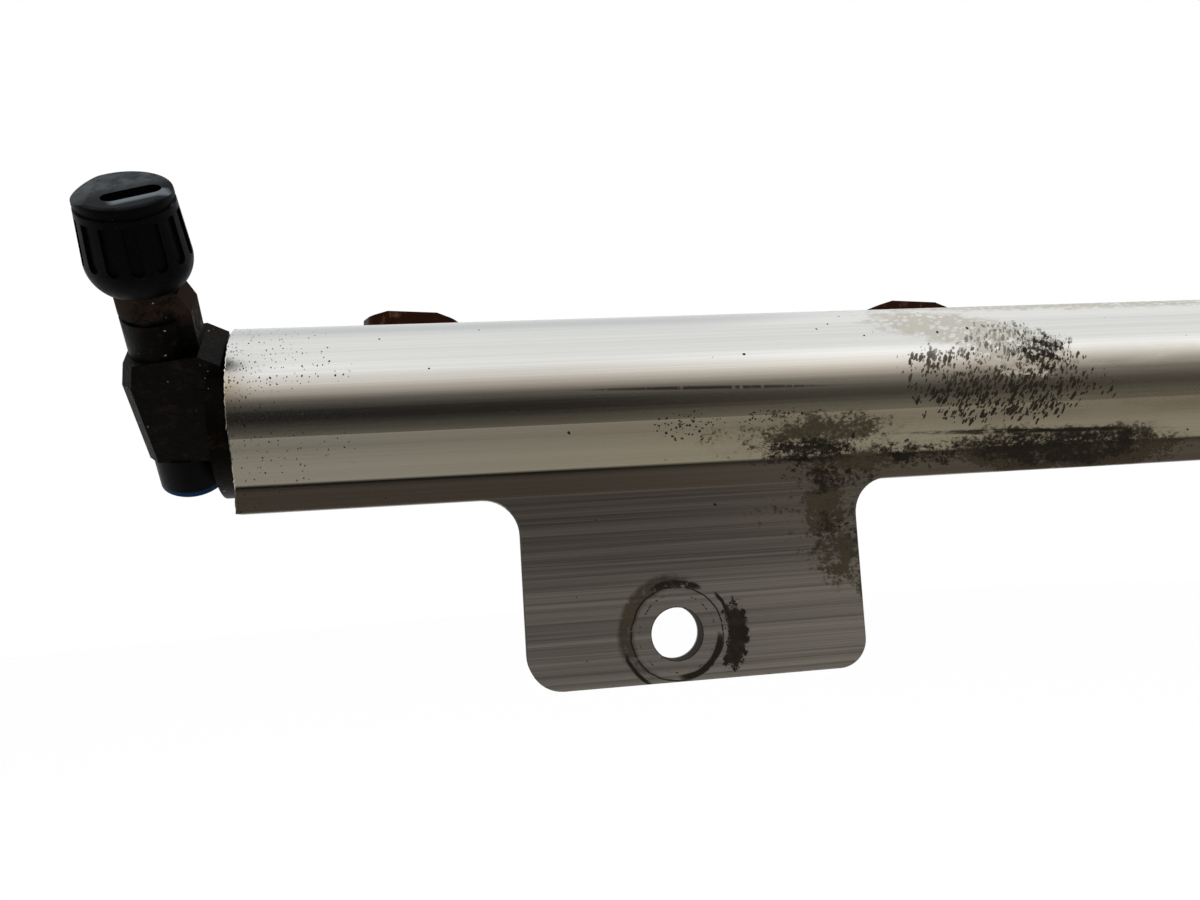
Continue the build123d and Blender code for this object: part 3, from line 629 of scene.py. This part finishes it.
def bolt_marks(f):
    """Black scrapes and a brown halo that the bolts' washers left."""
    wobble = f.grain((0.30, 0.30, 0.30), detail=4.0, shift=7.0)
    radius = f.maths("MULTIPLY_ADD", f.maths("SUBTRACT", wobble, 0.5), 0.8, hole_radius(f))
    ragged = f.grain((0.9, 0.9, 0.9), detail=7.0, rough=0.75, shift=2.0)
    broken = f.step(ragged, 0.42, 0.52)
    hole_x = -BOLT_X
    low_right = f.patch(hole_x + 4.6, -4.8, 5.4, 5.4, soft=0.35)
    low_left = f.patch(hole_x - 6.6, -5.4, 3.0, 4.2, soft=0.6)
    top = f.patch(hole_x + 0.5, 7.8, 6.0, 1.8, soft=0.5)
    right = f.patch(hole_x + 7.6, 3.6, 2.4, 3.4, soft=0.5)
    heavy = f.times(ring(f, radius, BOLT_RADIUS + HEAVY_SCRAPE, 0.66), low_right)
    light = f.step(ragged, 0.36, 0.50, 0.0, 0.75)
    light = f.times(ring(f, radius, BOLT_RADIUS + WASHER_EDGE, 0.16), light)
    inner = f.step(ragged, 0.52, 0.60, 0.0, 0.8)
    inner = f.times(ring(f, radius, BOLT_RADIUS + INNER_SCRAPE, 0.14), inner)
    tail = f.times(ring(f, radius, BOLT_RADIUS + OUTER_SCRAPE, 0.34), f.largest(low_left, right))
    smudge = f.times(ring(f, radius, BOLT_RADIUS + SMUDGE, 0.55), top, broken)
    halo = f.patch(hole_x - 3.6, 2.4, 9.0, 10.0, soft=0.5)
    halo = f.times(halo, f.step(ragged, 0.32, 0.62, 0.15, 0.66))
    halo = f.times(ring(f, radius, BOLT_RADIUS + HALO, 1.6), halo)
    crumbs = f.step(ragged, 0.34, 0.66)
    beside = f.patch(hole_x + 9.6, -1.0, 4.6, 7.0, soft=0.6)
    beside = f.times(beside, ring(f, radius, BOLT_RADIUS + CRUST, 2.3))
    inside = f.step(beside, 0.0, 0.2)
    beside = f.step(f.maths("MULTIPLY_ADD", beside, 1.2, crumbs), 0.70, 1.40, 0.0, 0.92)
    beside = f.times(beside, inside)
    black = f.times(beside, f.step(crumbs, 0.25, 0.75, 0.45, 1.0))
    on_tab = f.step(f.z, 15.0, 12.0)
    scrapes = f.times(f.largest(heavy, light, inner, tail, smudge, black), on_tab)
    return scrapes, f.times(f.largest(halo, beside), on_tab)


def clip_finish(look):
    """Dark bronze coating on spring steel, rubbed in places, with a painted highlight along the left bend and
    painted light on the left ear.
    """
    f = Finish("bronze_spring_steel")
    cloud = f.grain((0.5, 0.5, 0.5), detail=5.0)
    fine = f.grain((3.0, 3.0, 0.4), detail=3.0, shift=5.0)
    rubbed = f.step(f.maths("MULTIPLY_ADD", fine, 0.4, cloud), 0.74, 0.98, 0.0, 0.5)
    from_socket = f.maths("WRAP", f.x, SOCKET_PITCH / 2, -SOCKET_PITCH / 2)
    # Painted highlight along the left bend and painted light on the left ear
    bend_highlight = f.step(f.away(from_socket, CLIP_BEND), 0.55, 0.12, 0.0, 0.85)
    ear = f.step(from_socket, CLIP_BEND + 0.6, CLIP_BEND - 0.2, 0.0, 0.22)
    amount = f.largest(rubbed, bend_highlight, ear)
    colour = f.mix(amount, solid_colour(look.coat), solid_colour(look.worn_and_highlight))
    shine = f.step(cloud, 0.3, 0.7, 0.30, 0.46)
    f.set(Base_Color=colour, Metallic=0.9, Roughness=shine, Specular_IOR_Level=0.15)
    f.bump(fine, 0.12, 0.00004)
    return f.material


def rusty_steel(look):
    """Oiled dark steel, brown with rust on the stem, with a few pale crumbs."""
    f = Finish("rusty_steel")
    cloud = f.grain((0.42, 0.42, 0.42), detail=7.0, rough=0.7)
    pits = f.grain((2.4, 2.4, 2.4), detail=4.0, rough=0.7, shift=8.0)
    height = f.step(f.z, 46.0, 53.0, -0.16, 0.18)
    rust = f.step(f.maths("ADD", f.maths("MULTIPLY_ADD", pits, 0.45, cloud), height), 0.56, 0.92)
    colour = f.mix(rust, solid_colour(look.steel), solid_colour(look.rust))
    crumbs = f.step(f.grain((1.3, 1.3, 1.3), detail=1.0, shift=40.0), 0.755, 0.785)
    colour = f.mix(f.times(crumbs, 0.55), colour, solid_colour(look.crumbs))
    roughness = f.step(rust, 0.0, 1.0, 0.42, 0.8)
    metal = f.step(rust, 0.0, 1.0, 0.2, 0.0)
    f.set(Base_Color=colour, Metallic=metal, Roughness=roughness, Specular_IOR_Level=0.03)
    f.bump(f.maths("ADD", pits, cloud), 0.5, 0.00022)
    return f.material


def turned_metal(name, colour, roughness):
    """Bright turned metal with fine marks."""
    f = Finish(name)
    marks = f.grain((2.0, 7.0, 7.0), detail=3.0)
    tint = f.shade(solid_colour(colour), f.step(marks, 0.3, 0.7, 0.82, 1.05))
    f.set(Base_Color=tint, Metallic=1.0, Roughness=f.step(marks, 0.3, 0.7, roughness, roughness + 0.12))
    f.bump(marks, 0.15, 0.00003)
    return f.material


def cap_finish(look):
    """Black moulded plastic, with dust and a painted sheen on its top and a painted highlight on the slot's
    lip.
    """
    f = Finish("cap_plastic")
    centre = (CAP_HIGH + CAP_LOW) * 0.5 / MM
    from_centre = f.vector("SUBTRACT", f.place, tuple(centre))
    geometry = f.node("ShaderNodeNewGeometry")
    # Dust and painted sheen go on the faces turned up along the stem, high on the cap
    upward = f.step(f.dot(geometry.outputs["Normal"], STEM_AXIS), 0.45, 0.95)
    high = f.step(f.dot(from_centre, STEM_AXIS), 3.6, 5.0)
    across = f.dot(from_centre, SLOT_ACROSS)
    along = f.dot(from_centre, SLOT_ALONG)
    smudge = f.grain((0.55, 0.55, 0.55), detail=6.0, rough=0.65)
    speck = f.grain((3.2, 3.2, 3.2), detail=2.0, shift=6.0)
    behind = f.step(across, -1.4, 1.8, 0.05, 0.42)
    behind = f.times(behind, f.step(smudge, 0.36, 0.60, 0.25, 1.0))
    beside_slot = f.step(f.away(along, 1.2), 4.4, 3.2)
    # Painted highlight: a pale band on the slot's lip
    lip_highlight = f.times(f.step(across, -4.6, -3.6), f.step(across, -1.9, -2.4), beside_slot)
    dust_and_highlight = f.times(upward, high, f.largest(behind, lip_highlight))
    light_specks = f.times(f.step(speck, 0.70, 0.76), 0.10)
    amount = f.maths("ADD", dust_and_highlight, light_specks, clamp=True)
    colour = f.mix(amount, solid_colour(look.cap), solid_colour(look.cap_dust_and_sheen))
    f.set(Base_Color=colour, Roughness=f.step(smudge, 0.3, 0.7, 0.38, 0.52), Specular_IOR_Level=0.03)
    f.bump(f.maths("ADD", speck, smudge), 0.12, 0.00008)
    return f.material


def moulded_plastic(name, colour, roughness):
    """Plain moulded plastic with a faint skin."""
    f = Finish(name)
    skin = f.grain((1.6, 1.6, 1.6), detail=4.0, rough=0.6)
    tint = f.shade(solid_colour(colour), f.step(skin, 0.3, 0.7, 0.75, 1.3))
    shine = f.step(skin, 0.3, 0.7, roughness, roughness + 0.15)
    f.set(Base_Color=tint, Roughness=shine, Specular_IOR_Level=0.03)
    f.bump(skin, 0.1, 0.00006)
    return f.material


def seal_rubber(look):
    """Matt black rubber with a faint sheen."""
    f = Finish("seal_rubber")
    skin = f.grain((4.0, 4.0, 4.0), detail=3.0)
    tint = f.shade(solid_colour(look.rubber), f.step(skin, 0.3, 0.7, 0.8, 1.4))
    f.set(Base_Color=tint, Roughness=f.step(skin, 0.3, 0.7, 0.55, 0.75), Specular_IOR_Level=0.2)
    f.bump(skin, 0.1, 0.00004)
    return f.material


class FUELRAIL_OT_extrusion(Operator):
    """Finish the rail's extrusion"""

    bl_idname = "fuelrail.extrusion"
    bl_label = "Extrusion"

    def execute(self, context):
        look = context.scene.fuel_rail.extrusion
        paint(["rail"], extrusion_finish(look))
        return {"FINISHED"}


# The burr's teeth: noise picked at each, then their least and mean reach and their flare, as shares
TOOTH_STEP = 0.9
TOOTH_ROW = 3.1
LEAST_TOOTH = 0.12
MEAN_TOOTH = 0.55
TOOTH_FLARE = 0.3

# The fuel bore's middle in Y and Z, and a radius just over the bore's own, in metres
BORE_CENTRE = Vector((0.0036, 0.0367))
BORE_CLEAR = 0.0078
NEAR = 1e-6


class FUELRAIL_OT_saw_burr(Operator):
    """Add the ragged burr that the saw left round the rail's cut end"""

    bl_idname = "fuelrail.saw_burr"
    bl_label = "Saw burr"

    def execute(self, context):
        look = context.scene.fuel_rail.extrusion
        outline = end_outline(look.burr_teeth)
        mesh = bpy.data.meshes.new("saw_burr")
        build = bmesh.new()
        outer = []
        inner = []
        for number, (y, z, out_y, out_z) in enumerate(outline):
            ragged = noise.noise(Vector((number * TOOTH_STEP, TOOTH_ROW, 0.0)))
            reach = look.burr * max(LEAST_TOOTH, MEAN_TOOTH + ragged)
            flare = reach * TOOTH_FLARE
            tip = (RAIL_LOW.x - reach, y + out_y * flare, z + out_z * flare)
            root = (RAIL_LOW.x + look.burr, y - out_y * look.burr, z - out_z * look.burr)
            outer.append(build.verts.new(tip))
            inner.append(build.verts.new(root))
        for number in range(len(outline)):
            after = (number + 1) % len(outline)
            build.faces.new((outer[number], outer[after], inner[after], inner[number]))
        build.to_mesh(mesh)
        build.free()
        piece = add_piece("saw_burr", mesh, bpy.data.materials["used_aluminium"])
        shell = piece.modifiers.new("thickness", "SOLIDIFY")
        shell.thickness = look.burr * 0.5
        shell.offset = 0.0
        return {"FINISHED"}


def end_outline(count):
    """Evenly spaced points round the rail's cut end, each with its outward direction."""
    rail = frame["nodes"]["rail"].data
    edge = {}
    for vertex in rail.vertices:
        if vertex.co.x < RAIL_LOW.x + NEAR:
            edge[(round(vertex.co.y, 6), round(vertex.co.z, 6))] = True
    rim = [Vector(key) for key in edge if (Vector(key) - BORE_CENTRE).length > BORE_CLEAR]
    rim.sort(key=lambda p: math.atan2(p.y - BORE_CENTRE.y, p.x - BORE_CENTRE.x))
    lengths = [0.0]
    for before, after in zip(rim, rim[1:] + rim[:1]):
        lengths.append(lengths[-1] + (after - before).length)
    points = []
    for number in range(count):
        target = lengths[-1] * number / count
        leg = max(i for i, total in enumerate(lengths[:-1]) if total <= target)
        start = rim[leg]
        end = rim[(leg + 1) % len(rim)]
        share = (target - lengths[leg]) / max((end - start).length, 1e-9)
        place = start.lerp(end, share)
        along = (end - start).normalized()
        points.append((place.x, place.y, along.y, -along.x))
    return points


class FUELRAIL_OT_clips(Operator):
    """Finish the injector clips"""

    bl_idname = "fuelrail.clips"
    bl_label = "Injector clips"

    def execute(self, context):
        paint(CLIP_NODES, clip_finish(context.scene.fuel_rail.clips))
        return {"FINISHED"}


class FUELRAIL_OT_adapter(Operator):
    """Finish the end adapter, the end plug and the test valve"""

    bl_idname = "fuelrail.adapter"
    bl_label = "End adapter"

    def execute(self, context):
        look = context.scene.fuel_rail.adapter
        paint(["end_adapter", "end_plug"], rusty_steel(look))
        paint(["valve_core", "valve_pin"], turned_metal("valve_brass", look.brass, 0.22))
        paint(["valve_spring"], turned_metal("spring_wire", look.wire, 0.25))
        shorten_spring()
        return {"FINISHED"}


def shorten_spring():
    """Gives the valve's spring a mesh of its own."""
    spring = frame["nodes"]["valve_spring"]
    heights = [vertex.co.dot(STEM_AXIS) for vertex in spring.data.vertices]
    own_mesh(spring)


class FUELRAIL_OT_cap(Operator):
    """Finish the test port's cap"""

    bl_idname = "fuelrail.cap"
    bl_label = "Test port cap"

    def execute(self, context):
        paint(["test_port_cap"], cap_finish(context.scene.fuel_rail.plastic))
        return {"FINISHED"}


class FUELRAIL_OT_inlet(Operator):
    """Finish the inlet's quick connector"""

    bl_idname = "fuelrail.inlet"
    bl_label = "Inlet connector"

    def execute(self, context):
        look = context.scene.fuel_rail.plastic
        black = moulded_plastic("connector_plastic", look.inlet, 0.30)
        paint(["inlet_housing", "inlet_spacer"], black)
        paint(["inlet_lock_ring"], moulded_plastic("lock_ring_plastic", look.ring, 0.36))
        return {"FINISHED"}


class FUELRAIL_OT_seals(Operator):
    """Finish the rubber seals"""

    bl_idname = "fuelrail.seals"
    bl_label = "Seals"

    def execute(self, context):
        paint(SEAL_NODES, seal_rubber(context.scene.fuel_rail.plastic))
        return {"FINISHED"}


# Camera, measured from the photograph: place in metres, its angles, then its sensor in millimetres
CAMERA_PLACE = Vector((-0.17559, -0.15463, 0.01662))
CAMERA_YAW = math.radians(8.47)
CAMERA_PITCH = math.radians(4.51)
CAMERA_ROLL = math.radians(-3.55)
SENSOR_WIDTH = 36.0

# Card in front of the part that the metal mirrors: its rows as height angle in degrees, left tone and
# right tone, its columns as X in metres and share of the right tone, then its shape in metres
CARD_TONES = (
    (-80, 0.45, 0.45),
    (-56, 0.42, 0.42),
    (-51, 0.38, 0.38),
    (-46, 0.25, 0.28),
    (-41, 0.15, 0.23),
    (-36, 0.08, 0.16),
    (-30, 0.02, 0.08),
    (-24, 0.006, 0.06),
    (-18, 0.006, 0.06),
    (-8, 0.033, 0.11),
    (3, 0.15, 0.27),
    (15, 0.54, 0.66),
    (27, 0.88, 1.1),
    (40, 1.02, 1.36),
    (50, 1.04, 1.2),
)
CARD_COLUMNS = ((-1.6, 0.0), (-0.10, 0.0), (0.06, 1.0), (1.6, 1.0))
CARD_RADIUS = 0.45
CARD_CENTRE_Z = 0.03
CARD_ROWS = 60

# Soft lamp: its place, what it points at and its width, and the floor's radius, in metres
KEY_PLACE = Vector((-0.75, -0.55, 0.75))
KEY_AIM = Vector((-0.15, 0.0, 0.03))
KEY_WIDTH = 0.5
FLOOR_RADIUS = 6.0


class FUELRAIL_OT_stage(Operator):
    """Set up the floor, the card, the white surround, the lamp and the camera"""

    bl_idname = "fuelrail.stage"
    bl_label = "Studio"

    def execute(self, context):
        look = context.scene.fuel_rail.studio
        make_floor(look)
        make_card()
        make_world()
        make_lamp(look)
        make_camera(look)
        context.scene.view_settings.view_transform = "Standard"
        return {"FINISHED"}


def make_floor(look):
    """A large pale floor well below the part."""
    mesh = bpy.data.meshes.new("studio_floor")
    build = bmesh.new()
    bmesh.ops.create_circle(build, cap_ends=True, segments=96, radius=FLOOR_RADIUS)
    build.to_mesh(mesh)
    build.free()
    floor = bpy.data.objects.new("studio_floor", mesh)
    floor.location = (0.0, 0.0, CAD_BOX[0][2] - look.floor_drop)
    bpy.context.scene.collection.objects.link(floor)
    material = bpy.data.materials.new("pale_floor")
    material.use_nodes = True
    tree = material.node_tree
    shader = tree.nodes["Principled BSDF"]
    shader.inputs["Base Color"].default_value = solid_colour(look.floor)
    shader.inputs["Roughness"].default_value = 0.9
    mesh.materials.append(material)


def make_card():
    """A curved card in front of the part, seen only in reflections."""
    mesh = bpy.data.meshes.new("studio_card")
    build = bmesh.new()
    shades = build.verts.layers.float.new("tone")
    rows = []
    low, high = CARD_TONES[0][0], CARD_TONES[-1][0]
    for step in range(CARD_ROWS + 1):
        angle = low + (high - low) * step / CARD_ROWS
        y = -CARD_RADIUS * math.cos(math.radians(angle))
        z = CARD_CENTRE_Z + CARD_RADIUS * math.sin(math.radians(angle))
        row = []
        for x, share in CARD_COLUMNS:
            vertex = build.verts.new((x, y, z))
            vertex[shades] = card_tone(angle, share)
            row.append(vertex)
        rows.append(row)
    for lower, upper in zip(rows, rows[1:]):
        for side in range(len(CARD_COLUMNS) - 1):
            build.faces.new((lower[side], lower[side + 1], upper[side + 1], upper[side]))
    build.to_mesh(mesh)
    build.free()
    card = bpy.data.objects.new("studio_card", mesh)
    bpy.context.scene.collection.objects.link(card)
    material = bpy.data.materials.new("card_tone")
    material.use_nodes = True
    tree = material.node_tree
    tree.nodes.remove(tree.nodes["Principled BSDF"])
    tone = tree.nodes.new("ShaderNodeAttribute")
    tone.attribute_name = "tone"
    glow = tree.nodes.new("ShaderNodeEmission")
    glow.inputs["Color"].default_value = (1.0, 1.0, 1.0, 1.0)
    tree.links.new(tone.outputs["Fac"], glow.inputs["Strength"])
    tree.links.new(glow.outputs[0], tree.nodes["Material Output"].inputs["Surface"])
    mesh.materials.append(material)
    card.visible_camera = False
    card.visible_diffuse = False
    card.visible_shadow = False


def card_tone(angle, share):
    """Brightness of the card at a height angle, from its left tone to its right one."""
    for (low, *dark), (high, *light) in zip(CARD_TONES, CARD_TONES[1:]):
        if low <= angle <= high:
            up = (angle - low) / (high - low)
            left, right = (start + (end - start) * up for start, end in zip(dark, light))
            return left + (right - left) * share
    return CARD_TONES[-1][1] + (CARD_TONES[-1][2] - CARD_TONES[-1][1]) * share


def make_world():
    """A plain white surround."""
    world = bpy.data.worlds.new("studio")
    world.use_nodes = True
    surround = world.node_tree.nodes["Background"]
    surround.inputs["Color"].default_value = (1.0, 1.0, 1.0, 1.0)
    surround.inputs["Strength"].default_value = 1.0
    bpy.context.scene.world = world


def make_lamp(look):
    """One soft lamp from the upper left."""
    lamp = bpy.data.lights.new("key_lamp", "AREA")
    lamp.shape = "DISK"
    lamp.size = KEY_WIDTH
    lamp.energy = look.key_power
    key = bpy.data.objects.new("key_lamp", lamp)
    bpy.context.scene.collection.objects.link(key)
    key.location = KEY_PLACE
    key.rotation_euler = (KEY_AIM - KEY_PLACE).to_track_quat("-Z", "Y").to_euler()


def make_camera(look):
    """The photograph's camera."""
    lens = bpy.data.cameras.new("camera")
    lens.lens = look.lens
    lens.sensor_width = SENSOR_WIDTH
    lens.clip_start = 0.01
    camera = bpy.data.objects.new("camera", lens)
    bpy.context.scene.collection.objects.link(camera)
    ahead = Vector(
        (
            math.sin(CAMERA_YAW) * math.cos(CAMERA_PITCH),
            math.cos(CAMERA_YAW) * math.cos(CAMERA_PITCH),
            math.sin(CAMERA_PITCH),
        )
    )
    level = Vector((math.cos(CAMERA_YAW), -math.sin(CAMERA_YAW), 0.0))
    above = level.cross(ahead)
    right = level * math.cos(CAMERA_ROLL) + above * math.sin(CAMERA_ROLL)
    up = -level * math.sin(CAMERA_ROLL) + above * math.cos(CAMERA_ROLL)
    turn = Matrix((right, up, -ahead)).transposed().to_4x4()
    camera.matrix_world = Matrix.Translation(CAMERA_PLACE) @ turn
    bpy.context.scene.camera = camera


OPERATORS = (
    FUELRAIL_OT_extrusion,
    FUELRAIL_OT_saw_burr,
    FUELRAIL_OT_clips,
    FUELRAIL_OT_adapter,
    FUELRAIL_OT_cap,
    FUELRAIL_OT_inlet,
    FUELRAIL_OT_seals,
    FUELRAIL_OT_stage,
)


class FUELRAIL_PT_panel(Panel):
    """Lists the fuel rail's pieces"""

    bl_idname = "FUELRAIL_PT_panel"
    bl_label = "Fuel rail"
    bl_space_type = "VIEW_3D"
    bl_region_type = "UI"
    bl_category = "Fuel rail"

    def draw(self, context):
        """One button an operator, then the settings."""
        for operator in OPERATORS:
            self.layout.operator(operator.bl_idname)
        settings = context.scene.fuel_rail
        for part in ("extrusion", "clips", "adapter", "plastic", "studio"):
            group = getattr(settings, part)
            box = self.layout.box()
            for name in group.bl_rna.properties.keys():
                if name not in ("rna_type", "name"):
                    box.prop(group, name)


CLASSES = (
    ExtrusionFinish,
    ClipFinish,
    AdapterFinish,
    PlasticFinish,
    StudioSettings,
    FuelRailSettings,
    *OPERATORS,
    FUELRAIL_PT_panel,
)


def register():
    """Adds the settings, the operators and the panel."""
    for item in CLASSES:
        bpy.utils.register_class(item)
    bpy.types.Scene.fuel_rail = PointerProperty(type=FuelRailSettings)


def unregister():
    """Takes them away again."""
    del bpy.types.Scene.fuel_rail
    for item in reversed(CLASSES):
        bpy.utils.unregister_class(item)


def main():
    """Runs every operator in order."""
    register()
    for operator in OPERATORS:
        group, name = operator.bl_idname.split(".")
        getattr(getattr(bpy.ops, group), name)()


if __name__ == "__main__":
    main()
